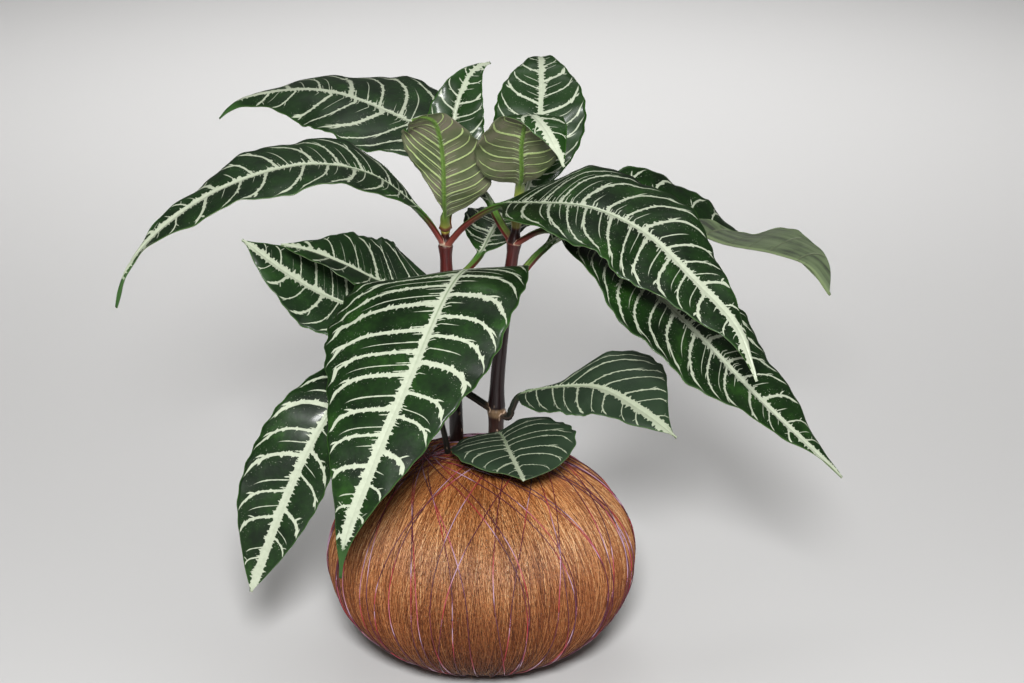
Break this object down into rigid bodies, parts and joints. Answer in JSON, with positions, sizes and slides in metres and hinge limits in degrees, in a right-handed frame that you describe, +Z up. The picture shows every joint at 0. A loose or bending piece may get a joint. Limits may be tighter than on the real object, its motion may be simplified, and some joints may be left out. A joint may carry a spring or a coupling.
{
  "type": "kokedama house plant",
  "caption": "String-garden house plant: a veined, broad-leaved zebra plant growing out of a soil ball wrapped in wound natural-fibre yarn and bound with fine thread.",
  "frame": {"origin": "middle of the small flat spot that the ball rests on", "axes": "+Z up; the plant is seen from -Y in the reference view, with +X to the right"},
  "size_m": [0.3956, 0.2655, 0.3294],
  "materials": {
    "soil": null,
    "coir_yarn": "wound natural-fibre yarn, tan to dark brown, dry and hairy",
    "binding_thread": "fine variegated thread, red to purple to white along its length, slight sheen",
    "stem": "glossy dark wine-red stem, browner at its foot and yellow-green in the shoot",
    "old_stalk": "dried grey-black leaf stalk, matt",
    "leaf": null
  },
  "bodies": {
    "root": {"soil_root_ball": "soil", "coir_wrap": "coir_yarn", "binding_thread": "binding_thread", "stem_left": "stem", "stem_right": "stem", "old_leaf_stalk": "old_stalk", "leaf_left_top_front": "leaf", "leaf_left_top_back": "leaf", "leaf_left_upper_left": "leaf", "leaf_left_upper_right": "leaf", "leaf_left_middle_left": "leaf", "leaf_left_middle_right": "leaf", "leaf_left_lower_left": "leaf", "leaf_right_top_front": "leaf", "leaf_right_top_back": "leaf", "leaf_right_upper_left": "leaf", "leaf_right_upper_right": "leaf", "leaf_right_middle_left": "leaf", "leaf_right_middle_right": "leaf", "leaf_right_lower_left": "leaf", "leaf_right_lower_right": "leaf", "leaf_right_foot_front": "leaf"}
  },
  "joints": []
}
